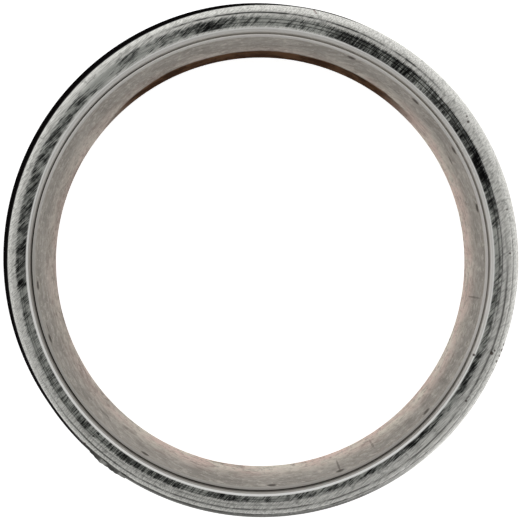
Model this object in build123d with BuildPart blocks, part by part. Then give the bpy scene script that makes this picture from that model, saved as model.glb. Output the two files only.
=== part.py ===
from build123d import *
import math
import os

# Spiral wound ring gasket for a pipe joint: a thin bore sleeve, a wound steel strip and
# the graphite filler that is wound in between its turns. Sizes are in millimetres.
# The ring stands on its lower sealing face at Z = 0, with its bore along +Z.

# Overall
gasket_height = 13.0  # over the two flat sealing faces
bore_diameter = 57.5  # clears a pipe of 57.15

# Bore sleeve
sleeve_wall = 0.4
sleeve_setback = 0.12  # its lips end this far inside the sealing faces
lip_round = 0.19

# Winding
winding_gap = 0.0  # the sleeve is pressed in, so they touch
inner_turns_wall = 0.8  # plain turns with no filler, welded together
filler_thickness = 0.2
strip_thickness = 0.15
filler_turns = 3
outer_turns_wall = 1.74  # plain turns outside the filler
throat_round = 0.7  # inner edge of the winding, beside the sleeve's lip
shoulder_round = 1.5  # outer edges, pressed over
winding_drift = 0.28  # how far the outer turns lie off the bore's axis
start_angle = 227.0  # where the filler starts, and where it ends

# V section that every turn of the strip is rolled to, with its point outwards
vee_depth = 0.5
vee_flange = 3.25  # upright length of the plain turns beside each sealing face

# Free end of the strip, lapped over the outermost turn
tail_from = 82.0
tail_to = 228.0
tail_rise = 0.01  # how much wider the lap's own circle is than the outer turns'
tail_drift = 0.55  # how far the lap's own centre lies off the bore's axis
tail_drift_angle = 112.0
tail_setback = 0.8
weld_width = 9.0  # degrees of arc that the end weld covers
weld_height = 0.25
weld_overlap = 2.0  # degrees of the weld that lie on the lap

# What follows from them
bore_radius = bore_diameter / 2
sleeve_radius = bore_radius + sleeve_wall
winding_radius = sleeve_radius + winding_gap
channel_radius = winding_radius + inner_turns_wall
pitch = filler_thickness + strip_thickness
channel_end = channel_radius + filler_turns * pitch + filler_thickness
outer_radius = channel_end + outer_turns_wall
tail_radius = outer_radius + tail_rise
tail_root = outer_radius - outer_turns_wall / 2  # the lap and its weld reach in this far
mid_height = gasket_height / 2


def turned(angle, distance):
    """A point at a distance from the bore's axis, towards an angle in degrees."""
    turn = math.radians(angle)
    return Vector(distance * math.cos(turn), distance * math.sin(turn), 0)


def section_plane(angle, centre):
    """A plane that holds the axis through centre, with its X pointing towards angle."""
    outward = turned(angle, 1)
    return Plane(origin=centre, x_dir=outward, z_dir=outward.cross(Vector(0, 0, 1)))


def vee_section(inner, outer, setback=0.0, flange=vee_flange):
    """The V section between two radii, short of the faces by a setback, upright at its flanges."""
    slope = vee_depth / (mid_height - flange)
    start = max(setback, flange)
    lean = slope * (start - flange)
    low_side = [(0, setback)] if flange > setback else []
    low_side += [(lean, start), (vee_depth, mid_height)]
    high_side = [(x, gasket_height - y) for x, y in reversed(low_side[:-1])]
    profile = low_side + high_side
    outside = [(outer + x, y) for x, y in profile]
    inside = [(inner + x, y) for x, y in reversed(profile)]
    with BuildLine() as outline:
        Polyline(*outside, *inside, close=True)
    make_face(outline.edges())


axis = Axis.Z
drift_centre = turned(start_angle + 180, winding_drift)
drift_axis = Axis(drift_centre, (0, 0, 1))

# Bore sleeve: a plain tube with both lips rounded over
with BuildPart() as bore_sleeve:
    with BuildSketch(Plane.XZ) as sleeve_section:
        with Locations((bore_radius, mid_height)):
            Rectangle(
                sleeve_wall,
                gasket_height - 2 * sleeve_setback,
                align=(Align.MIN, Align.CENTER),
            )
        fillet(sleeve_section.vertices(), min(lip_round, 0.48 * sleeve_wall))
    revolve(axis=axis)

# Graphite filler: half turns about centres that step from side to side, so that each
# one meets the next edge to edge and the radius grows by one pitch in a whole turn
with BuildPart() as graphite_filler:
    half_turns = 2 * filler_turns
    side_step = pitch / 4
    radius = channel_radius + side_step
    offset_before = -side_step
    for half in range(half_turns):
        swing = side_step if half % 2 else -side_step
        offset = swing - winding_drift * half / half_turns
        radius += abs(offset - offset_before)
        offset_before = offset
        centre = turned(start_angle, offset)
        with BuildSketch(section_plane(start_angle + 180 * half, centre)):
            vee_section(radius, radius + filler_thickness, flange=0)
        revolve(axis=Axis(centre, (0, 0, 1)), revolution_arc=180)

# Wound strip: the plain inner turns, the turns between the filler and the plain outer
# turns are one piece, and the filler's channel runs through it
with BuildPart() as wound_strip:
    with BuildSketch(section_plane(0, drift_centre)) as whole_section:
        vee_section(bore_radius * 0.6, outer_radius)
        outer_corners = whole_section.vertices().group_by(Axis.X)[-2].sort_by(Axis.Y)
        fillet([outer_corners[0], outer_corners[-1]], min(shoulder_round, 0.9 * outer_turns_wall))
    revolve(axis=drift_axis)
    with BuildSketch(section_plane(0, (0, 0, 0))) as throat_section:
        vee_section(bore_radius / 2, winding_radius + 2 * throat_round)
        with BuildSketch(Plane.XY, mode=Mode.PRIVATE) as inner_turns:
            vee_section(winding_radius, winding_radius + 3 * throat_round)
            inner_corners = inner_turns.vertices().group_by(Axis.X)[0].sort_by(Axis.Y)
            fillet([inner_corners[0], inner_corners[-1]], min(throat_round, 0.9 * inner_turns_wall))
        add(inner_turns.sketch_local, mode=Mode.SUBTRACT)
    revolve(axis=axis, mode=Mode.SUBTRACT)
    add(graphite_filler.part, mode=Mode.SUBTRACT)
    tail_centre = turned(tail_drift_angle, tail_drift)
    with BuildSketch(section_plane(tail_from, tail_centre)):
        vee_section(tail_root, tail_radius, tail_setback)
    revolve(axis=Axis(tail_centre, (0, 0, 1)), revolution_arc=tail_to - tail_from)
    with BuildSketch(section_plane(tail_to - weld_overlap, drift_centre)):
        vee_section(tail_root, outer_radius + weld_height, tail_setback)
    revolve(axis=drift_axis, revolution_arc=weld_width)

bore_sleeve.part.label = "bore_sleeve"
graphite_filler.part.label = "graphite_filler"
wound_strip.part.label = "wound_strip"

os.makedirs("parts", exist_ok=True)
export_step(bore_sleeve.part, "parts/bore_sleeve.step")
export_step(graphite_filler.part, "parts/graphite_filler.step")
export_step(wound_strip.part, "parts/wound_strip.step")
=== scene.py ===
import math
import bmesh
import bpy
import numpy as np
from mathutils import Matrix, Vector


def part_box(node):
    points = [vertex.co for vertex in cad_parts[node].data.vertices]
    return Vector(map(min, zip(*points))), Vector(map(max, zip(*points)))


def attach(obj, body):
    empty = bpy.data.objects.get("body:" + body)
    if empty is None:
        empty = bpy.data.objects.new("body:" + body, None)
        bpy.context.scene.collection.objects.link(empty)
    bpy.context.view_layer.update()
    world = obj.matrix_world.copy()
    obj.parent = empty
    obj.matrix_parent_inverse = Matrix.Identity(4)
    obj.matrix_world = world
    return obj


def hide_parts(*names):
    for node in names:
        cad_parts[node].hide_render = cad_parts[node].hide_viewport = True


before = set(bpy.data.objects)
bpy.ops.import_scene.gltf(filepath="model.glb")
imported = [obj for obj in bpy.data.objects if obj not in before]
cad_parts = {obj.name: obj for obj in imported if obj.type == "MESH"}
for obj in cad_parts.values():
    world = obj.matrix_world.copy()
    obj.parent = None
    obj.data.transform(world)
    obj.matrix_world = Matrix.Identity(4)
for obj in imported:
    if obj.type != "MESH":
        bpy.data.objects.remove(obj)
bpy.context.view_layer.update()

mm = 0.001
sleeveLow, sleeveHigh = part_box("bore_sleeve")
stripLow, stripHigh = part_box("wound_strip")
ringHeight = (stripHigh[2] - stripLow[2]) / mm
sleeveOuter = (sleeveHigh[0] - sleeveLow[0]) / 2 / mm
stepsRound = 360

# the spiral that the strip, the filler and both plain rings share, in millimetres and degrees
winding = {
    "startRadius": sleeveOuter + 0.8,
    "fillerWall": 0.2,
    "stripWall": 0.15,
    "turns": 3,
    "startAngle": 227.0,
    "stepAngle": 1.0,  # arc over which a plain ring steps back by one turn
    "drift": 0.28,  # how far the outer turns lie off the bore's axis
    "veeDepth": 0.5,
    "flange": 3.25,  # upright length of a plain turn beside each face
    "edgeRound": 0.006,
}
winding["pitch"] = winding["fillerWall"] + winding["stripWall"]


def smoothStep(low, high, x):
    t = np.clip((x - low) / (high - low), 0, 1)
    return t * t * (3 - 2 * t)


# how far the V section stands out at a height
def lean(z, flange):
    half = ringHeight / 2
    return winding["veeDepth"] * np.clip(1 - np.abs(z - half) / (half - flange), 0, 1)


def driftAt(angle, progress):
    towards = math.radians(winding["startAngle"] + 180)
    return winding["drift"] * progress * math.cos(math.radians(angle) - towards)


# radius of the spiral after whole turns, stepping back by a turn at its start angle
def spiralEdge(angle, turnsBefore):
    swept = (angle - winding["startAngle"]) % 360
    stepStart = 360 - winding["stepAngle"]
    if swept > stepStart:
        part = stepStart / 360 * (360 - swept) / winding["stepAngle"]
    else:
        part = swept / 360
    turns = turnsBefore + part
    base = winding["startRadius"] + winding["pitch"] * turns
    return base + driftAt(angle, turns / winding["turns"])


# joins one section for each angle, given as radii and heights, into a closed shell
def sweptRing(bm, sectionAt, angles, closed=True):
    rows = []
    for angle in angles:
        radii, heights = sectionAt(angle)
        c, s = math.cos(math.radians(angle)), math.sin(math.radians(angle))
        rows.append([bm.verts.new((r * c * mm, r * s * mm, z * mm)) for r, z in zip(radii, heights)])
    pairs = list(zip(rows, rows[1:] + rows[:1])) if closed else list(zip(rows, rows[1:]))
    for near, far in pairs:
        for k in range(len(near)):
            j = (k + 1) % len(near)
            bm.faces.new((near[k], far[k], far[j], near[j]))
    if not closed:
        bm.faces.new(list(reversed(rows[0])))
        bm.faces.new(rows[-1])


def finishedPiece(name, bm, material, node):
    bmesh.ops.recalc_face_normals(bm, faces=bm.faces)
    for face in bm.faces:
        face.smooth = True
    for edge in bm.edges:
        edge.smooth = edge.calc_face_angle(0) < math.radians(18)
    mesh = bpy.data.meshes.new(name)
    bm.to_mesh(mesh)
    bm.free()
    mesh.materials.append(material)
    piece = bpy.data.objects.new(name, mesh)
    bpy.context.collection.objects.link(piece)
    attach(piece, "root")
    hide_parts(node)


# closes a section from the upper halves of its inner wall, its top and its outer wall
def mirroredSection(inside, top, outside):
    upper = inside + top + outside
    lower = [(r, ringHeight - z) for r, z in reversed(upper) if abs(z - ringHeight / 2) > 1e-6]
    points = upper + lower
    return [p[0] for p in points], [p[1] for p in points]


innerTurns = {
    "throatWidth": 0.74,
    "throatDepth": 2.0,
    "bevelSlope": 0.44,  # the bright bevel beside the land
    "wallWidth": 0.42,  # the steep part inside it
    "wallDrop": 0.30,
    "wallPower": 1.3,
    "bowSteps": 16,
    "bowCrowding": 1.5,  # how far the bow's points crowd towards the sleeve
    "landSteps": 4,
}


def innerTurnsSection(angle):
    height, tiny, flange = ringHeight, winding["edgeRound"], winding["flange"]
    width, steps = innerTurns["throatWidth"], innerTurns["bowSteps"]
    wallHeights = (height / 2, height - flange, height - innerTurns["throatDepth"])
    wall = [(sleeveOuter + lean(z, flange), z) for z in wallHeights]
    top = []
    for k in range(steps + 1):
        x = width * (k / steps) ** innerTurns["bowCrowding"]
        steep = max(0, 1 - x / innerTurns["wallWidth"]) ** innerTurns["wallPower"]
        drop = innerTurns["bevelSlope"] * (width - x)
        top.append((sleeveOuter + x, height - drop - innerTurns["wallDrop"] * steep))
    edge = spiralEdge(angle, 0)
    land = np.linspace(sleeveOuter + width, edge - tiny, innerTurns["landSteps"])[1:]
    top += [(r, height) for r in land] + [(edge, height - tiny)]
    outside = [(edge + lean(z, 0), z) for z in (height * 0.75, height / 2)]
    return mirroredSection(wall, top, outside)


outerTurns = {
    "shoulderFall": 0.68,  # how far the pressed shoulder slopes down
    "edgeFall": 0.42,  # and how far its rounded edge falls below that
    "edgePower": 7,
    "radius": 32.94,
    "flare": 0.10,  # the pressed edge spreads a little past the wall
    "edgeDepth": 2.0,
    "bowSteps": 46,
    "wallSteps": 8,
    "turnWidth": 0.68,  # one plain turn of the strip, where its edge shows
    "turnSeam": 31.6,
    "turnCrown": 0.085,  # how far the seams lie below the crown of a turn
    "crownPower": 4,
    "crownFade": (30.75, 31.0),  # radii where the crowns begin and are full
    "crownEnd": 8,  # power that flattens the crowns towards the rounded edge
    "showAngle": 288.0,  # where the linishing has left the crowns
    "showReach": (70.0, 95.0),
}


# share of the turns' crowns that the linishing has left, round the ring
def turnShow(angle):
    away = abs((angle - outerTurns["showAngle"] + 180) % 360 - 180)
    full, none = outerTurns["showReach"]
    return 1 - smoothStep(full, none, away)


def crownDrop(radius, angle):
    part = ((radius - outerTurns["turnSeam"]) / outerTurns["turnWidth"]) % 1.0
    none, full = outerTurns["crownFade"]
    drop = outerTurns["turnCrown"] * turnShow(angle) * smoothStep(none, full, radius)
    return drop * (2 * part - 1) ** outerTurns["crownPower"]


# how far the pressed edge spreads, which is not at all under the lapped end
def edgeFlare(angle):
    lapped = smoothStep(lap["from"], lap["full"], angle)
    lapped *= 1 - smoothStep(lap["to"] - lap["fade"], lap["to"], angle)
    return outerTurns["flare"] * (1 - lapped)


def outerTurnsSection(angle):
    height, tiny, flange = ringHeight, winding["edgeRound"], winding["flange"]
    edge = spiralEdge(angle, winding["turns"] - 1) + winding["fillerWall"]
    rim = outerTurns["radius"] + driftAt(angle, 1)
    wide = rim + edgeFlare(angle) - edge - tiny
    wall = [(edge + lean(z, 0), z) for z in (height / 2, height * 0.75)] + [(edge, height - tiny)]
    top = []
    for k in range(outerTurns["bowSteps"] + 1):
        share = math.sin(math.pi / 2 * k / outerTurns["bowSteps"])
        r = edge + tiny + wide * share
        drop = outerTurns["shoulderFall"] * share ** 2
        drop += outerTurns["edgeFall"] * (1 - math.sqrt(1 - share ** outerTurns["edgePower"]))
        drop += crownDrop(r, angle) * (1 - share ** outerTurns["crownEnd"])
        top.append((r, height - drop))
    outsideHeights = np.linspace(height - outerTurns["edgeDepth"], height / 2, outerTurns["wallSteps"])
    outside = [(rim + lean(z, flange), z) for z in outsideHeights]
    return mirroredSection(wall, top, outside)


# the free end of the strip: its angles, its own circle and how it is set back from the face
lap = {
    "from": 70.0,
    "full": 100.0,
    "to": 228.0,
    "fade": 30.0,
    "radius": 32.77,
    "drift": 0.55,
    "driftAngle": 112.0,
    "setback": 0.72,
    "sunk": 0.05,  # how far it starts below the outer turns' wall
    "round": 0.06,
    "buried": 0.35,
    "wallTop": 3.0,
    "wallSteps": 7,
}


# section of a strip that lies on the outer turns, set back from the face
def wallSection(outer, inner, setback):
    height, flange, tiny = ringHeight, winding["flange"], lap["round"]
    top, corner = height - setback, 0.3 * lap["round"]
    high, steps = height - lap["wallTop"], lap["wallSteps"]
    outside = [(outer + lean(z, flange), z) for z in np.linspace(high, height / 2, steps)]
    inside = [(inner + lean(z, flange), z) for z in np.linspace(height / 2, high, steps)]
    edge = [(inner, top), (outer - tiny, top), (outer - corner, top - corner), (outer, top - tiny)]
    return mirroredSection(inside, edge, outside)


def lapSection(angle):
    start = outerTurns["radius"] + driftAt(angle, 1) - lap["sunk"]
    swing = math.cos(math.radians(angle - lap["driftAngle"]))
    full = lap["radius"] + lap["drift"] * swing
    outer = start + (full - start) * smoothStep(lap["from"], lap["full"], angle)
    return wallSection(outer, start + lap["sunk"] - lap["buried"], lap["setback"])


weld = {
    "from": 228.0,
    "to": 238.0,
    "rise": 2.0,  # degrees over which the bead starts, and then ends
    "fall": 3.0,
    "height": 0.13,
    "sunk": 0.04,
    "setback": 0.55,
    "ripples": ((0.04, 97), (0.03, 251)),  # height in millimetres, waves round the ring
    "droop": (0.12, 71),
}


def waveAt(angle, size, waves):
    return size * math.sin(math.radians(angle * waves))


def weldSection(angle):
    rim = outerTurns["radius"] + driftAt(angle, 1)
    share = smoothStep(weld["from"], weld["from"] + weld["rise"], angle)
    share *= 1 - smoothStep(weld["to"] - weld["fall"], weld["to"], angle)
    ripple = sum(waveAt(angle, size, waves) for size, waves in weld["ripples"])
    outer = rim + edgeFlare(angle) - weld["sunk"] + (weld["height"] + ripple) * share
    return wallSection(outer, rim - lap["buried"], weld["setback"] + waveAt(angle, *weld["droop"]))


# Geometry Nodes tree that winds a V section along the spiral
def spiralTree():
    tree = bpy.data.node_groups.new("spiralTurns", "GeometryNodeTree")
    face = tree.interface
    face.new_socket("Geometry", in_out="OUTPUT", socket_type="NodeSocketGeometry")
    floats = ("Start Radius", "Pitch", "Turns", "Wall", "Height", "Start Angle", "Drift", "Drift Turns",
              "Vee Depth", "Edge Round")
    for label in floats:
        face.new_socket(label, in_out="INPUT", socket_type="NodeSocketFloat")
    face.new_socket("Steps", in_out="INPUT", socket_type="NodeSocketInt")
    face.new_socket("Finish", in_out="INPUT", socket_type="NodeSocketMaterial")
    link = tree.links.new
    given = tree.nodes.new("NodeGroupInput").outputs
    made = tree.nodes.new("NodeGroupOutput").inputs

    def math2(operation, a, b=None):
        node = tree.nodes.new("ShaderNodeMath")
        node.operation = operation
        for socket, value in zip(node.inputs, (a, b)):
            if value is None:
                continue
            if isinstance(value, (int, float)):
                socket.default_value = value
            else:
                link(value, socket)
        return node.outputs[0]

    line = tree.nodes.new("GeometryNodeCurvePrimitiveLine")
    line.inputs["End"].default_value = (0, 0, 1)
    evenly = tree.nodes.new("GeometryNodeResampleCurve")
    link(line.outputs[0], evenly.inputs["Curve"])
    link(given["Steps"], evenly.inputs["Count"])
    section = tree.nodes.new("GeometryNodeCurvePrimitiveQuadrilateral")
    link(given["Wall"], section.inputs["Width"])
    link(given["Height"], section.inputs["Height"])
    rounded = tree.nodes.new("GeometryNodeFilletCurve")
    rounded.mode = "POLY"
    rounded.inputs["Count"].default_value = 2
    link(section.outputs[0], rounded.inputs["Curve"])
    link(given["Edge Round"], rounded.inputs["Radius"])
    halved = tree.nodes.new("GeometryNodeSubdivideCurve")
    halved.inputs["Cuts"].default_value = 1
    link(rounded.outputs[0], halved.inputs["Curve"])
    sweep = tree.nodes.new("GeometryNodeCurveToMesh")
    sweep.inputs["Fill Caps"].default_value = True
    link(evenly.outputs[0], sweep.inputs["Curve"])
    link(halved.outputs[0], sweep.inputs["Profile Curve"])

    place = tree.nodes.new("GeometryNodeInputPosition")
    parts = tree.nodes.new("ShaderNodeSeparateXYZ")
    link(place.outputs[0], parts.inputs[0])
    across, up, along = parts.outputs
    turned = math2("MULTIPLY", along, given["Turns"])
    angle = math2("ADD", math2("MULTIPLY", turned, 2 * math.pi), given["Start Angle"])
    progress = math2("DIVIDE", turned, given["Drift Turns"])
    swing = math2("COSINE", math2("SUBTRACT", angle, math2("ADD", given["Start Angle"], math.pi)))
    drift = math2("MULTIPLY", math2("MULTIPLY", given["Drift"], progress), swing)
    half = math2("MULTIPLY", given["Height"], 0.5)
    rise = math2("SUBTRACT", 1.0, math2("DIVIDE", math2("ABSOLUTE", up), half))
    vee = math2("MULTIPLY", given["Vee Depth"], rise)
    radius = math2("ADD", math2("ADD", given["Start Radius"], math2("MULTIPLY", given["Wall"], 0.5)), across)
    radius = math2("ADD", radius, math2("MULTIPLY", turned, given["Pitch"]))
    radius = math2("ADD", radius, math2("ADD", drift, vee))
    wound = tree.nodes.new("ShaderNodeCombineXYZ")
    link(math2("MULTIPLY", radius, math2("COSINE", angle)), wound.inputs[0])
    link(math2("MULTIPLY", radius, math2("SINE", angle)), wound.inputs[1])
    link(math2("ADD", up, half), wound.inputs[2])
    bend = tree.nodes.new("GeometryNodeSetPosition")
    link(sweep.outputs[0], bend.inputs["Geometry"])
    link(wound.outputs[0], bend.inputs["Position"])
    flip = tree.nodes.new("GeometryNodeFlipFaces")
    link(bend.outputs[0], flip.inputs["Mesh"])
    real = tree.nodes.new("GeometryNodeRealizeInstances")
    link(flip.outputs[0], real.inputs[0])
    coat = tree.nodes.new("GeometryNodeSetMaterial")
    link(real.outputs[0], coat.inputs["Geometry"])
    link(given["Finish"], coat.inputs["Material"])
    link(coat.outputs[0], made["Geometry"])
    return tree


# runs the spiral tree once with its named inputs and returns a plain mesh
def woundMesh(tree, values):
    holder = bpy.data.objects.new("windingHolder", bpy.data.meshes.new("windingHolder"))
    bpy.context.collection.objects.link(holder)
    modifier = holder.modifiers.new("winding", "NODES")
    modifier.node_group = tree
    sockets = {item.name: item.identifier for item in tree.interface.items_tree if item.in_out == "INPUT"}
    for label, value in values.items():
        modifier[sockets[label]] = value
    ready = holder.evaluated_get(bpy.context.evaluated_depsgraph_get())
    mesh = bpy.data.meshes.new_from_object(ready)
    holder.modifiers.clear()
    bpy.data.objects.remove(holder)
    return mesh


def spiralInputs(startRadius, wall, turns, material):
    return {
        "Start Radius": startRadius * mm,
        "Pitch": winding["pitch"] * mm,
        "Turns": turns - winding["stepAngle"] / 360,
        "Wall": wall * mm,
        "Height": ringHeight * mm,
        "Start Angle": math.radians(winding["startAngle"]),
        "Drift": winding["drift"] * mm,
        "Drift Turns": float(winding["turns"]),
        "Vee Depth": winding["veeDepth"] * mm,
        "Edge Round": winding["edgeRound"] * mm,
        "Steps": int(stepsRound * turns),
        "Finish": material,
    }


# short names for the nodes that the finishes are built from
class Nodes:
    def __init__(self, name):
        self.material = bpy.data.materials.new(name)
        self.material.use_nodes = True
        self.tree = self.material.node_tree
        self.shader = self.tree.nodes["Principled BSDF"]
        coords = self.tree.nodes.new("ShaderNodeTexCoord")
        self.place = coords.outputs["Object"]
        x, y, self.z = self.add("ShaderNodeSeparateXYZ", {0: self.place}).outputs
        self.flat = self.add("ShaderNodeCombineXYZ", {0: x, 1: y}).outputs[0]
        self.radius = self.vector("LENGTH", self.flat).outputs["Value"]
        self.outward = self.vector("NORMALIZE", self.flat).outputs[0]

    def add(self, kind, inputs=None, **settings):
        node = self.tree.nodes.new(kind)
        for key, value in settings.items():
            setattr(node, key, value)
        for key, value in (inputs or {}).items():
            if isinstance(value, bpy.types.NodeSocket):
                self.tree.links.new(value, node.inputs[key])
            else:
                node.inputs[key].default_value = value
        return node

    def vector(self, operation, a, b=None):
        inputs = {0: a} if b is None else {0: a, 1: b}
        return self.add("ShaderNodeVectorMath", inputs, operation=operation)

    def math(self, operation, a, b=0.0):
        return self.add("ShaderNodeMath", {0: a, 1: b}, operation=operation).outputs[0]

    def plus(self, a, b):
        return self.math("ADD", a, b)

    def minus(self, a, b):
        return self.math("SUBTRACT", a, b)

    def times(self, a, b):
        return self.math("MULTIPLY", a, b)

    # a share that runs smoothly between two values
    def span(self, value, low, high, toLow=0.0, toHigh=1.0):
        inputs = {"Value": value, "From Min": low, "From Max": high, "To Min": toLow, "To Max": toHigh}
        node = self.add("ShaderNodeMapRange", inputs, interpolation_type="SMOOTHSTEP")
        return node.outputs[0]

    # the same between two lengths in millimetres
    def reach(self, value, limits, toLow=0.0, toHigh=1.0):
        return self.span(value, limits[0] * mm, limits[1] * mm, toLow, toHigh)

    # one towards an angle round the ring, fading out beyond a half width, in degrees
    def near(self, angle, halfWidth, soft):
        low = math.cos(math.radians(halfWidth + soft))
        return self.span(self.towards(angle), low, math.cos(math.radians(halfWidth)))

    # one on a small mark of the wall, at an angle and a height in millimetres
    def spot(self, angle, height, halfWidth, halfHeight, wander):
        narrow = 1 / (1 - math.cos(math.radians(halfWidth)))
        across = self.times(self.minus(1.0, self.towards(angle)), narrow)
        off = self.minus(self.plus(self.z, wander), height * mm)
        upright = self.math("POWER", self.math("ABSOLUTE", self.math("DIVIDE", off, halfHeight * mm)), 2.0)
        return self.span(self.plus(across, upright), 0.15, 1.0, 1.0, 0.0)

    # share of the way towards an angle round the ring, from -1 to 1
    def towards(self, angle):
        turn = math.radians(angle)
        return self.vector("DOT_PRODUCT", self.outward, (math.cos(turn), math.sin(turn), 0)).outputs["Value"]

    # one on a round dot of the face, at an angle, a radius and a size in millimetres
    def dot(self, angle, radius, size):
        turn = math.radians(angle)
        centre = (radius * mm * math.cos(turn), radius * mm * math.sin(turn), 0)
        away = self.vector("DISTANCE", self.flat, centre).outputs["Value"]
        return self.span(away, 0.4 * size * mm, size * mm, 1.0, 0.0)

    def noise(self, vector, scale, detail=2.0, roughness=0.5):
        node = self.add("ShaderNodeTexNoise", {"Vector": vector, "Scale": scale, "Detail": detail,
                                              "Roughness": roughness})
        return node.outputs["Fac"]

    # noise that is scaled apart along x, y and z
    def drawnNoise(self, scales, detail, roughness):
        return self.noise(self.vector("MULTIPLY", self.place, scales).outputs[0], 1.0, detail, roughness)

    # noise drawn out along one direction, with its grain length and width in millimetres
    def streaks(self, angle, along, across, detail=3.0, roughness=0.6):
        turned = self.add("ShaderNodeVectorRotate", {"Vector": self.place, "Angle": -math.radians(angle)},
                          rotation_type="Z_AXIS").outputs[0]
        scaled = self.vector("MULTIPLY", turned, (1 / along, 1 / across, 1 / across)).outputs[0]
        return self.noise(scaled, 1 / mm, detail, roughness)

    def mix(self, share, a, b):
        node = self.add("ShaderNodeMix", data_type="RGBA")
        for index, value in ((0, share), (6, a), (7, b)):
            if isinstance(value, bpy.types.NodeSocket):
                self.tree.links.new(value, node.inputs[index])
            else:
                node.inputs[index].default_value = value
        return node.outputs[2]

    def bump(self, height, distance, strength, before=None):
        inputs = {"Height": height, "Distance": distance, "Strength": strength}
        if before is not None:
            inputs["Normal"] = before
        return self.add("ShaderNodeBump", inputs).outputs[0]

    def link(self, value, socket):
        self.tree.links.new(value, self.shader.inputs[socket])

    def set(self, **values):
        for label, value in values.items():
            self.shader.inputs[label.replace("_", " ")].default_value = value


def grey(level):
    return (level, level, level, 1)


# the straight linishing of the dark face, with its sizes in millimetres; the face's dark tone is a painted
# reflection of the dark overhead
linish = {
    "angle": 45.0,
    "fineLength": 1.7,
    "fineWidth": 0.11,
    "fineShare": 0.60,
    "broadLength": 3.2,
    "broadWidth": 0.42,
    "broadShare": 0.30,
    "patch": 1.5,  # size of the smeared and the bare places
    "patchShare": 0.30,
    "cluster": 6.5,
    "clusterShare": 0.42,
    "levels": (0.71, 0.79, 0.89),  # where the dark, the middle and the light tone lie
    "edge": 31.02,  # where the dark face ends, and how far that edge lies off centre
    "edgeDrift": 0.44,
    "edgeAngle": 110.0,
    "edgeFeather": 0.9,
    "edgeWander": 0.5,
    "edgeSoft": (-0.16, 0.14),
    "biases": ((42.0, 20.0, -0.045), (122.0, 22.0, 0.035)),  # angle, half width, darker or lighter
    "biasSoft": 20.0,
}


# colour and grain of a face linished in one straight direction: the grain is real, its dark tone is a
# painted reflection of the dark overhead
def linishedColour(n, dark, middle, light):
    fine = n.streaks(linish["angle"], linish["fineLength"], linish["fineWidth"], 4.0, 0.68)
    broad = n.streaks(linish["angle"], linish["broadLength"], linish["broadWidth"], 2.0)
    patch = n.noise(n.place, 1 / (linish["patch"] * mm), 3.0, 0.6)
    cluster = n.noise(n.place, 1 / (linish["cluster"] * mm), 2.0, 0.5)
    level = n.plus(n.times(fine, linish["fineShare"]), n.times(broad, linish["broadShare"]))
    level = n.plus(level, n.times(patch, linish["patchShare"]))
    level = n.plus(level, n.times(cluster, linish["clusterShare"]))
    for angle, halfWidth, shift in linish["biases"]:
        level = n.plus(level, n.times(n.near(angle, halfWidth, linish["biasSoft"]), shift))
    first, second, third = linish["levels"]
    deep = n.mix(n.span(level, first, second), dark, middle)
    return n.mix(n.span(level, second, third), deep, light), fine


# one on the dark face, none where the pressed shoulder's pale metal begins
def landShare(n, fine):
    drift = n.times(n.towards(linish["edgeAngle"]), linish["edgeDrift"] * mm)
    past = n.minus(n.radius, n.plus(drift, linish["edge"] * mm))
    feather = n.times(n.minus(fine, 0.5), linish["edgeFeather"] * mm)
    wander = n.times(n.minus(n.noise(n.place, 420.0, 2.0), 0.5), linish["edgeWander"] * mm)
    past = n.plus(past, n.plus(feather, wander))
    return n.reach(past, linish["edgeSoft"], 1.0, 0.0)


shoulderLook = {
    "scratchLength": 1.6,
    "scratchWidth": 0.12,
    "dull": (0.46, 0.457, 0.430, 1),
    "pale": (0.80, 0.795, 0.755, 1),
    "scuff": (0.20, 0.20, 0.19, 1),
    "scuffScale": 1100.0,
    "scuffShare": 0.55,
}


# pale metal of the shoulder, with crossing scratches and dull scuffs
def shoulderColour(n):
    cross = n.streaks(linish["angle"], shoulderLook["scratchLength"], shoulderLook["scratchWidth"])
    colour = n.mix(n.span(cross, 0.34, 0.60), shoulderLook["dull"], shoulderLook["pale"])
    scuff = n.noise(n.place, shoulderLook["scuffScale"], 5.0, 0.65)
    scuffed = n.span(scuff, 0.55, 0.70, 0.0, shoulderLook["scuffShare"])
    return n.mix(scuffed, colour, shoulderLook["scuff"])


# marks on the face; angles in degrees, radii and sizes in millimetres
faceMarks = {
    # radius, angle, half width, strength
    "seams": ((31.62, 288.0, 62.0, 0.68), (32.28, 262.0, 26.0, 0.8), (31.85, 80.0, 26.0, 0.95),
              (31.05, 250.0, 18.0, 0.4), (31.5, 345.0, 20.0, 0.35)),
    "seamSoft": 16.0,
    "seamWidth": (0.03, 0.17),
    "seamWander": 0.22,
    "seamColour": (0.045, 0.045, 0.042, 1),
    # angle, radius, size
    "dots": ((336.5, 29.72, 0.22), (338.5, 31.75, 0.34), (339.3, 32.0, 0.2), (337.2, 32.85, 0.22),
             (338.6, 32.95, 0.24), (340.0, 32.98, 0.24), (341.3, 33.0, 0.2), (326.0, 31.7, 0.2),
             (34.0, 32.0, 0.24), (35.2, 32.3, 0.16), (2.0, 31.9, 0.18), (12.0, 32.2, 0.16),
             (226.0, 32.3, 0.2)),
    "dotColour": (0.045, 0.026, 0.018, 1),
    "slash": ((77.3, 32.62, 0.14), (77.6, 32.78, 0.14), (77.9, 32.93, 0.14)),
    "slashColour": (0.10, 0.018, 0.012, 1),
}

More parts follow.
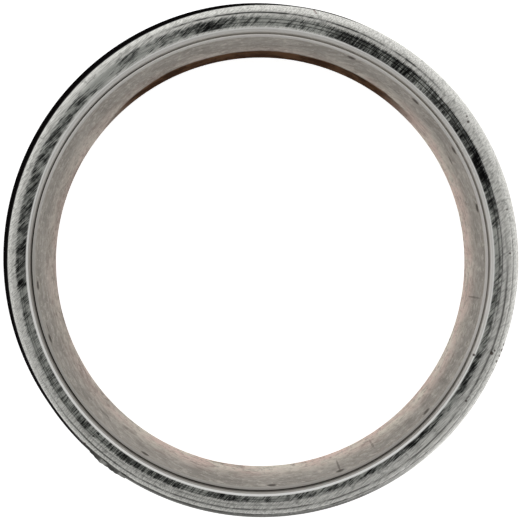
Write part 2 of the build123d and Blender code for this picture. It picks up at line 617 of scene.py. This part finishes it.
# each "At" is an angle, its half width and its soft edge in degrees; lengths are in millimetres,
# and a depth is measured from the nearer face
stripLook = {
    # the land's dark and middle tones are a painted reflection of the dark overhead, under the real
    # linishing grain
    "landDark": grey(0.012),
    "landMiddle": (0.15, 0.155, 0.145, 1),
    "landLight": (0.58, 0.59, 0.55, 1),
    "landInside": (0.68, 0.86),  # outside the sleeve
    "landDepths": (0.10, 0.22),
    "smear": 0.24,  # how far the linishing has drawn the bevel outwards
    "smearAt": (112.0, 28.0, 22.0),
    # the ridge's white is a painted highlight, and the hollow's colours are painted shade, lighter as
    # painted light on the upper side
    "ridgeHighlight": (1.0, 0.995, 0.97, 1),
    "hollowShaded": (0.44, 0.42, 0.39, 1),
    "hollowLit": (0.80, 0.785, 0.75, 1),
    "ridgeInside": (0.43, 0.52),  # outside the sleeve
    "ridgeOutside": (0.74, 0.80),
    "ridgeDepths": (0.75, 0.95),
    "ridgeShift": 0.14,
    "hollowLitAt": (70.0, 80.0, 40.0),
    # painted shade for the steep outer edges
    "edgeShade": (0.07, 0.07, 0.065, 1),
    "edgeDepths": (0.38, 0.56),
    "edgeAt": (256.0, 30.0, 30.0),
    "beadPale": (1.0, 0.98, 0.95, 1),
    "beadRadii": (32.90, 33.05),
    "beadAt": (233.5, 5.0, 1.5),
    "rolledScales": (160.0, 160.0, 3000.0),
    "wallDull": (0.30, 0.295, 0.28, 1),
    "wallPale": (0.46, 0.455, 0.435, 1),
    "wallDepths": (0.85, 1.25),
    "wallRadii": (31.2, 31.8),
    # the lapped end's black near the face is painted shade, fading to darker steel further down
    "lapBlackShade": (0.008, 0.007, 0.007, 1),
    "lapLowDull": (0.045, 0.039, 0.036, 1),
    "lapLowPale": (0.150, 0.132, 0.118, 1),
    "lapDepths": (0.58, 0.68),
    "lapAt": (148.0, 76.0, 8.0),
    "lapRise": 0.20,  # how much nearer the face its dark metal begins
    "lapRiseAt": (168.0, 36.0, 45.0),
    "lapShadeFade": (1.6, 4.2),
    "markDepths": (0.9, 1.15),  # where the marks of the face end
    "polish": 0.26,  # roughness of the metal before its grain
    "anisotropy": 0.6,
}


def besideSleeve(limits):
    return [sleeveOuter + limit for limit in limits]


# colour of the bright ridge beside the sleeve, over the shoulder's: a painted highlight on the bevel, and
# painted shade in the hollow beside the sleeve, lighter as painted light on the upper side
def ridgeOver(n, shoulder, depth):
    ridge = n.reach(n.radius, besideSleeve(stripLook["ridgeOutside"]), 1.0, 0.0)
    ridge = n.times(ridge, n.reach(depth, stripLook["ridgeDepths"], 1.0, 0.0))
    upper = n.near(*stripLook["hollowLitAt"])
    bright = n.minus(n.radius, n.times(upper, stripLook["ridgeShift"] * mm))
    bright = n.reach(bright, besideSleeve(stripLook["ridgeInside"]))
    hollowShade = n.mix(upper, stripLook["hollowShaded"], stripLook["hollowLit"])
    return n.mix(ridge, shoulder, n.mix(bright, hollowShade, stripLook["ridgeHighlight"]))


# fine dark seams between the plain turns, broken where the linishing has smeared them over
def seamsOver(n, shoulder):
    wobble = n.times(n.minus(n.noise(n.place, 260.0, 2.0), 0.5), faceMarks["seamWander"] * mm)
    reach = n.plus(n.radius, wobble)
    broken = n.span(n.noise(n.place, 330.0, 3.0, 0.6), 0.36, 0.52, 0.25, 1.0)
    for seam, angle, halfWidth, strength in faceMarks["seams"]:
        off = n.math("ABSOLUTE", n.minus(reach, seam * mm))
        line = n.reach(off, faceMarks["seamWidth"], strength, 0.0)
        line = n.times(line, n.near(angle, halfWidth, faceMarks["seamSoft"]))
        shoulder = n.mix(n.times(line, broken), shoulder, faceMarks["seamColour"])
    return shoulder


def stripFinish():
    n = Nodes("stripSteel")
    landColour, fine = linishedColour(n, stripLook["landDark"], stripLook["landMiddle"],
                                      stripLook["landLight"])
    below = n.math("ABSOLUTE", n.minus(n.z, ringHeight / 2 * mm))
    depth = n.minus(ringHeight / 2 * mm, below)
    smeared = n.times(n.near(*stripLook["smearAt"]), stripLook["smear"] * mm)
    inside = n.plus(n.minus(n.radius, smeared), n.times(fine, 0.05 * mm))
    throat = n.reach(inside, besideSleeve(stripLook["landInside"]))
    flatFace = n.reach(depth, stripLook["landDepths"], 1.0, 0.0)
    land = n.times(n.times(landShare(n, fine), throat), flatFace)
    shoulder = ridgeOver(n, shoulderColour(n), depth)
    shoulder = seamsOver(n, shoulder)
    # painted shade on the steep outer edges towards -Y, where the light does not reach them, but the bead is
    # bare
    edge = n.times(n.reach(depth, stripLook["edgeDepths"]), n.near(*stripLook["edgeAt"]))
    shoulder = n.mix(n.times(edge, 0.9), shoulder, stripLook["edgeShade"])
    bead = n.times(n.near(*stripLook["beadAt"]), n.reach(n.radius, stripLook["beadRadii"]))
    shoulder = n.mix(bead, shoulder, stripLook["beadPale"])
    # plain rolled metal on the outside
    rolled = n.drawnNoise(stripLook["rolledScales"], 4.0, 0.6)
    wallColour = n.mix(n.span(rolled, 0.38, 0.62), stripLook["wallDull"], stripLook["wallPale"])
    outerWall = n.times(n.reach(depth, stripLook["wallDepths"]), n.reach(n.radius, stripLook["wallRadii"]))
    shoulder = n.mix(outerWall, shoulder, wallColour)
    # the lapped end stays below the linished edge and is painted black as shade near the face, fading to
    # darker steel further from the face
    sunk = n.plus(depth, n.times(n.near(*stripLook["lapRiseAt"]), stripLook["lapRise"] * mm))
    lapShare = n.times(n.near(*stripLook["lapAt"]), n.reach(sunk, stripLook["lapDepths"]))
    lapLowColour = n.mix(n.span(rolled, 0.36, 0.64), stripLook["lapLowDull"], stripLook["lapLowPale"])
    shadeColour = n.mix(n.reach(depth, stripLook["lapShadeFade"]), stripLook["lapBlackShade"], lapLowColour)
    shoulder = n.mix(lapShare, shoulder, shadeColour)
    colour = n.mix(land, shoulder, landColour)
    nearFace = n.reach(depth, stripLook["markDepths"], 0.85, 0.0)
    for marks, markColour in (("dots", "dotColour"), ("slash", "slashColour")):
        for angle, radius, size in faceMarks[marks]:
            share = n.times(n.dot(angle, radius, size), nearFace)
            colour = n.mix(share, colour, faceMarks[markColour])
    n.link(colour, "Base Color")
    pale = n.times(flatFace, n.minus(1.0, land))
    rough = n.plus(n.times(fine, 0.25), stripLook["polish"])
    rough = n.plus(rough, n.times(pale, 0.20))
    n.link(n.plus(rough, n.times(lapShare, 0.3)), "Roughness")
    grain = n.times(fine, n.minus(1.0, outerWall))
    n.link(n.bump(grain, 0.03 * mm, 0.5, n.bump(rolled, 0.02 * mm, 0.3)), "Normal")
    n.set(Metallic=1.0, Anisotropic=stripLook["anisotropy"])
    turn = math.radians(linish["angle"] + 90)
    tangent = n.mix(land, (0, 0, 1, 1), (math.cos(turn), math.sin(turn), 0, 1))
    n.link(tangent, "Tangent")
    return n.material


fillerLook = {
    # the dark and middle tones are a painted reflection of the dark overhead, as on the strip
    "dark": grey(0.010),
    "middle": (0.13, 0.135, 0.125, 1),
    "light": (0.54, 0.55, 0.51, 1),
    "polish": 0.28,
    "anisotropy": 0.6,
}


def fillerFinish():
    n = Nodes("graphiteFace")
    landColour, fine = linishedColour(n, fillerLook["dark"], fillerLook["middle"], fillerLook["light"])
    n.link(n.mix(landShare(n, fine), shoulderColour(n), landColour), "Base Color")
    n.link(n.plus(n.times(fine, 0.25), fillerLook["polish"]), "Roughness")
    n.link(n.bump(fine, 0.03 * mm, 0.5), "Normal")
    n.set(Metallic=1.0, Anisotropic=fillerLook["anisotropy"])
    return n.material


# marks on the bore wall; angles in degrees, heights and sizes in millimetres
wallMarks = {
    # a row of spots just below the rim
    "rimAngles": (14, 30, 46, 66, 186, 200, 239, 273, 291, 318),
    "rimHeight": 11.95,
    "rimHalfWidth": 1.5,
    "rimHalfHeight": 0.75,
    "rimColour": (0.045, 0.034, 0.026, 1),
    # angle, height, half width in degrees, half height, strength
    "others": ((28, 7.4, 1.6, 0.35, 0.7), (16, 6.4, 0.8, 0.3, 0.6), (40, 8.6, 2.4, 0.25, 0.5),
               (232, 6.0, 3.0, 1.0, 0.35), (224, 8.5, 2.5, 0.7, 0.4), (197, 11.4, 1.6, 0.3, 0.6),
               (291, 9.0, 0.35, 4.5, 0.55), (350.6, 8.0, 0.35, 4.5, 0.5), (301.5, 6.0, 0.4, 4.0, 0.4),
               (320, 8.0, 2.6, 4.0, 0.22), (313, 9.5, 2.0, 3.0, 0.18), (327, 8.5, 1.2, 4.0, 0.2)),
    "otherColour": (0.06, 0.045, 0.036, 1),
}

# each "At" is an angle, its half width and its soft edge in degrees; lengths are in millimetres
sleeveLook = {
    "upperDull": (0.300, 0.280, 0.250, 1),
    "upperPale": (0.375, 0.350, 0.315, 1),
    # the paler lower wall and the rosy tones are a painted reflection of the floor
    "lowerDull": (0.250, 0.208, 0.182, 1),
    "lowerPale": (0.500, 0.440, 0.392, 1),
    "lowerHeights": (0.5, 9.5),
    "rosy": (0.82, 0.650, 0.580, 1),
    "cream": (0.85, 0.795, 0.695, 1),
    "rosyShares": (0.35, 0.50),  # all round, and added on the sunny side
    "sunnyAt": (330.0, 80.0, 40.0),
    "drawnScales": (300.0, 300.0, 1500.0),  # marks of the drawing, round the bore
    "drawnDull": (0.150, 0.120, 0.102, 1),
    "drawnPale": (0.58, 0.54, 0.49, 1),
    "axialScales": (2100.0, 2100.0, 420.0),  # and along it
    "axialDull": (0.17, 0.14, 0.12, 1),
    "grainScale": 1300.0,
    "grainBend": (0.007, -0.005, 0.009),
    "grainDull": (0.135, 0.106, 0.090, 1),
    "grainPale": (0.68, 0.63, 0.57, 1),
    # painted dark reflection along the lower edge of the bore wall
    "boreShadeHeight": 5.0,
    "boreShadeWander": 1.6,
    "boreShadeSoft": (-0.9, 0.1),
    "boreShadeTallAt": (85.0, 12.0, 60.0),
    "boreShadeAt": (91.0, 34.0, 19.0),
    "boreShadeDark": (0.062, 0.028, 0.014, 1),
    "boreShadeBrown": (0.16, 0.082, 0.042, 1),
    # the crest's two colours are painted light and painted shade
    "crestLit": (0.62, 0.60, 0.57, 1),
    "crestShaded": (0.42, 0.40, 0.37, 1),
    "crestShadedAt": (250.0, 60.0, 40.0),
    "crestBelow": (0.34, 0.18),  # under the sealing face
    "metal": 0.35,
    "polish": 0.42,
}


# metal of the bore wall: grey near the rim, paler and rosy towards the lower edge; the paler, rosy lower
# edge is a painted reflection of the floor, and the extra rosy on the sunny side is painted light
def boreWallColour(n, mottle, drawn):
    low = n.reach(n.z, sleeveLook["lowerHeights"], 1.0, 0.0)
    upperWall = n.mix(n.span(mottle, 0.40, 0.60), sleeveLook["upperDull"], sleeveLook["upperPale"])
    lowerWall = n.mix(n.span(mottle, 0.42, 0.58), sleeveLook["lowerDull"], sleeveLook["lowerPale"])
    wall = n.mix(low, upperWall, lowerWall)
    rosyPatch = n.span(n.noise(n.place, 140.0, 5.0, 0.7), 0.42, 0.58)
    rosy = n.mix(rosyPatch, sleeveLook["rosy"], sleeveLook["cream"])
    allRound, added = sleeveLook["rosyShares"]
    sunny = n.plus(n.times(n.near(*sleeveLook["sunnyAt"]), added), allRound)
    wall = n.mix(n.times(low, sunny), wall, rosy)
    strength = n.plus(n.times(low, 0.35), 0.25)
    wall = n.mix(n.times(n.span(drawn, 0.52, 0.68), strength), wall, sleeveLook["drawnDull"])
    wall = n.mix(n.span(drawn, 0.32, 0.45, 0.30, 0.0), wall, sleeveLook["drawnPale"])
    axial = n.drawnNoise(sleeveLook["axialScales"], 5.0, 0.65)
    axialDark = n.times(n.span(axial, 0.50, 0.74), n.times(strength, 0.5))
    wall = n.mix(axialDark, wall, sleeveLook["axialDull"])
    bend = n.vector("MULTIPLY", mottle, sleeveLook["grainBend"]).outputs[0]
    grain = n.noise(n.vector("ADD", n.place, bend).outputs[0], sleeveLook["grainScale"], 2.0, 0.5)
    grainDark = n.times(n.span(grain, 0.54, 0.66), n.times(strength, 0.8))
    wall = n.mix(grainDark, wall, sleeveLook["grainDull"])
    return n.mix(n.span(grain, 0.34, 0.45, 0.40, 0.0), wall, sleeveLook["grainPale"])


def sleeveFinish():
    n = Nodes("sleeveSteel")
    mottle = n.noise(n.place, 210.0, 6.0, 0.72)
    drawn = n.drawnNoise(sleeveLook["drawnScales"], 5.0, 0.7)
    wall = boreWallColour(n, mottle, drawn)
    # painted dark brown reflection along the lower edge, tallest towards +Y
    wave = n.times(n.minus(n.noise(n.place, 160.0, 3.0), 0.5), sleeveLook["boreShadeWander"] * mm)
    tall = n.times(n.near(*sleeveLook["boreShadeTallAt"]), sleeveLook["boreShadeHeight"] * mm)
    boreShade = n.reach(n.minus(n.z, n.plus(tall, wave)), sleeveLook["boreShadeSoft"], 1.0, 0.0)
    boreShade = n.times(boreShade, n.near(*sleeveLook["boreShadeAt"]))
    boreShadePatch = n.span(n.noise(n.place, 300.0, 4.0, 0.7), 0.40, 0.62)
    shadeColour = n.mix(boreShadePatch, sleeveLook["boreShadeDark"], sleeveLook["boreShadeBrown"])
    wall = n.mix(n.times(boreShade, 0.97), wall, shadeColour)
    rimSpot = (wallMarks["rimHeight"], wallMarks["rimHalfWidth"], wallMarks["rimHalfHeight"])
    for angle in wallMarks["rimAngles"]:
        mark = n.spot(angle, *rimSpot, n.times(wave, 0.3))
        wall = n.mix(n.times(mark, 0.85), wall, wallMarks["rimColour"])
    for angle, height, halfWidth, halfHeight, strength in wallMarks["others"]:
        mark = n.spot(angle, height, halfWidth, halfHeight, n.times(wave, 0.4))
        wall = n.mix(n.times(mark, strength), wall, wallMarks["otherColour"])
    # painted light on the lip's crest: lighter on the upper side, painted shade towards -Y
    crest = n.reach(n.z, [ringHeight - below for below in sleeveLook["crestBelow"]])
    crestShaded = n.near(*sleeveLook["crestShadedAt"])
    crestLighting = n.mix(crestShaded, sleeveLook["crestLit"], sleeveLook["crestShaded"])
    n.link(n.mix(crest, wall, crestLighting), "Base Color")
    n.link(n.span(boreShade, 0.0, 1.0, sleeveLook["metal"], 0.0), "Metallic")
    rough = n.plus(n.times(drawn, 0.2), sleeveLook["polish"])
    n.link(n.plus(rough, n.times(boreShade, 0.3)), "Roughness")
    n.link(n.bump(drawn, 0.04 * mm, 0.4, n.bump(mottle, 0.2 * mm, 0.25)), "Normal")
    n.set(Specular_IOR_Level=0.0)
    return n.material


sleeve = {"wall": 0.4, "lipRound": 0.19, "bowSteps": 7, "wallSteps": 10}


def sleeveSection(angle):
    top, rad = sleeveHigh[2] / mm, sleeve["lipRound"]
    inner, outer = sleeveOuter - sleeve["wall"], sleeveOuter
    inside = [(inner, z) for z in np.linspace(ringHeight / 2, top - rad, sleeve["wallSteps"])]
    turns = [math.pi / 2 * k / sleeve["bowSteps"] for k in range(sleeve["bowSteps"] + 1)]
    bow = [(inner + rad * (1 - math.cos(turn)), top - rad * (1 - math.sin(turn))) for turn in turns[1:]]
    bow += [(outer - rad * (1 - math.sin(turn)), top - rad * (1 - math.cos(turn))) for turn in turns]
    return mirroredSection(inside, bow, [(outer, ringHeight / 2)])


# every section stands at a whole degree, and two more stand where the plain rings step back
wholeRing = [360 * k / stepsRound for k in range(stepsRound)]
stepAt = winding["startAngle"] - winding["stepAngle"]
ringAngles = sorted(set(wholeRing + [stepAt, winding["startAngle"] - 0.001]))

stripSteel, graphiteFace, sleeveSteel = stripFinish(), fillerFinish(), sleeveFinish()
tree = spiralTree()
stripMesh = bmesh.new()
sweptRing(stripMesh, innerTurnsSection, ringAngles)
sweptRing(stripMesh, outerTurnsSection, ringAngles)
sweptRing(stripMesh, lapSection, np.arange(lap["from"], lap["to"] + 0.5, 1.0), closed=False)
sweptRing(stripMesh, weldSection, np.arange(weld["from"], weld["to"] + 0.1, 0.25), closed=False)
stripInputs = spiralInputs(winding["startRadius"] + winding["fillerWall"], winding["stripWall"],
                           winding["turns"] - 1, stripSteel)
stripMesh.from_mesh(woundMesh(tree, stripInputs))
finishedPiece("woundStrip", stripMesh, stripSteel, "wound_strip")
print("wound strip made")

fillerInputs = spiralInputs(winding["startRadius"], winding["fillerWall"], winding["turns"], graphiteFace)
fillerMesh = bmesh.new()
fillerMesh.from_mesh(woundMesh(tree, fillerInputs))
finishedPiece("graphiteFiller", fillerMesh, graphiteFace, "graphite_filler")
print("graphite filler made")

sleeveMesh = bmesh.new()
sweptRing(sleeveMesh, sleeveSection, wholeRing)
finishedPiece("boreSleeve", sleeveMesh, sleeveSteel, "bore_sleeve")
print("bore sleeve made")


studio = {
    "floorSize": 3.0,
    "cameraHeight": 0.1214,  # above the upper sealing face
    "viewWidth": 0.0663,  # what the view spans at that face
    "cameraAside": (-0.000026, 0.000255),
    "sensorWidth": 36.0,
    "clipStart": 0.005,
    "floorTone": 0.85,
    "floorGlow": 0.8,
    # sine of the elevation, brightness
    "sky": ((0.0, 0.7), (0.45, 1.0), (0.86, 0.9), (0.93, 0.22), (0.98, 0.06)),
    # how the brightness grows from -Y to +Y
    "skySide": {"From Min": -0.9, "From Max": 0.9, "To Min": 0.55, "To Max": 1.15},
}


# pale floor that glows only where it is seen, straight or in a reflection
def floorMaterial():
    material = bpy.data.materials.new("paleFloor")
    material.use_nodes = True
    nodes, links = material.node_tree.nodes, material.node_tree.links
    nodes.clear()
    path = nodes.new("ShaderNodeLightPath")
    seen = path.outputs["Is Camera Ray"]
    for ray in ("Is Glossy Ray", "Is Transmission Ray"):
        either = nodes.new("ShaderNodeMath")
        either.operation = "MAXIMUM"
        links.new(seen, either.inputs[0])
        links.new(path.outputs[ray], either.inputs[1])
        seen = either.outputs[0]
    pale = nodes.new("ShaderNodeBsdfDiffuse")
    pale.inputs["Color"].default_value = grey(studio["floorTone"])
    glow = nodes.new("ShaderNodeEmission")
    glow.inputs["Strength"].default_value = studio["floorGlow"]
    both = nodes.new("ShaderNodeAddShader")
    links.new(pale.outputs[0], both.inputs[0])
    links.new(glow.outputs[0], both.inputs[1])
    choose = nodes.new("ShaderNodeMixShader")
    links.new(seen, choose.inputs[0])
    links.new(pale.outputs[0], choose.inputs[1])
    links.new(both.outputs[0], choose.inputs[2])
    links.new(choose.outputs[0], nodes.new("ShaderNodeOutputMaterial").inputs["Surface"])
    return material


def buildFloor():
    bm = bmesh.new()
    bmesh.ops.create_grid(bm, x_segments=1, y_segments=1, size=studio["floorSize"] / 2)
    mesh = bpy.data.meshes.new("floor")
    bm.to_mesh(mesh)
    bm.free()
    mesh.materials.append(floorMaterial())
    floor = bpy.data.objects.new("floor", mesh)
    bpy.context.collection.objects.link(floor)


# a soft studio: dark straight overhead, bright all round, brightest towards +Y
def buildSky():
    world = bpy.data.worlds.new("studioSky")
    bpy.context.scene.world = world
    world.use_nodes = True
    nodes, links = world.node_tree.nodes, world.node_tree.links
    coords = nodes.new("ShaderNodeTexCoord")
    parts = nodes.new("ShaderNodeSeparateXYZ")
    links.new(coords.outputs["Generated"], parts.inputs[0])
    ramp = nodes.new("ShaderNodeValToRGB")
    links.new(parts.outputs["Z"], ramp.inputs["Fac"])
    first, *between, last = studio["sky"]
    stops = ramp.color_ramp.elements
    for stop, (position, level) in zip(stops, (first, last)):
        stop.position, stop.color = position, grey(level)
    for position, level in between:
        stops.new(position).color = grey(level)
    side = nodes.new("ShaderNodeMapRange")
    links.new(parts.outputs["Y"], side.inputs["Value"])
    for label, value in studio["skySide"].items():
        side.inputs[label].default_value = value
    both = nodes.new("ShaderNodeVectorMath")
    both.operation = "SCALE"
    links.new(ramp.outputs["Color"], both.inputs[0])
    links.new(side.outputs[0], both.inputs["Scale"])
    links.new(both.outputs[0], nodes["Background"].inputs["Color"])
    nodes["Background"].inputs["Strength"].default_value = 1.0


def buildCamera():
    data = bpy.data.cameras.new("camera")
    data.sensor_width = studio["sensorWidth"]
    data.lens = data.sensor_width * studio["cameraHeight"] / studio["viewWidth"]
    data.clip_start = studio["clipStart"]
    camera = bpy.data.objects.new("camera", data)
    bpy.context.collection.objects.link(camera)
    aside = studio["cameraAside"]
    camera.location = (aside[0], aside[1], ringHeight * mm + studio["cameraHeight"])
    bpy.context.scene.camera = camera


buildFloor()
buildSky()
buildCamera()
bpy.context.scene.view_settings.view_transform = "Standard"
print("studio made")
